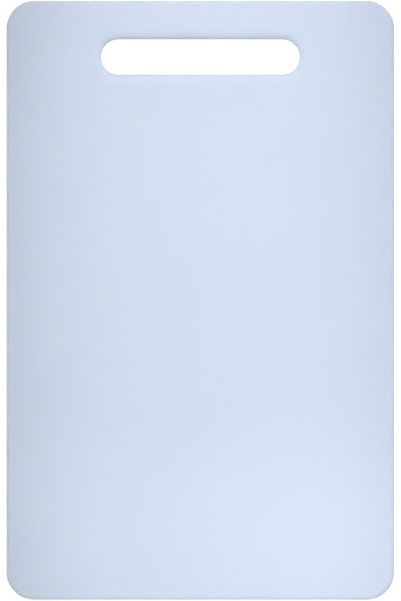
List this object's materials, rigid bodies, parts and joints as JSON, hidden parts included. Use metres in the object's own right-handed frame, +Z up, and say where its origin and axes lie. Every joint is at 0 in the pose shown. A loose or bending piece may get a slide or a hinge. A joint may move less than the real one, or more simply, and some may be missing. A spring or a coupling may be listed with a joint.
{
  "type": "cutting board",
  "caption": "Flat rectangular plastic cutting board with round corners, a rounded rim and a long hand slot through one end.",
  "frame": {"origin": "middle of the underside, on the surface that the board lies on", "axes": "+Z up through the thickness, +Y along the length towards the end with the hand slot, +X across the width"},
  "size_m": [0.2794, 0.4318, 0.008],
  "materials": {
    "polyethylene": "satin"
  },
  "bodies": {
    "root": {"board": "polyethylene"}
  },
  "joints": []
}
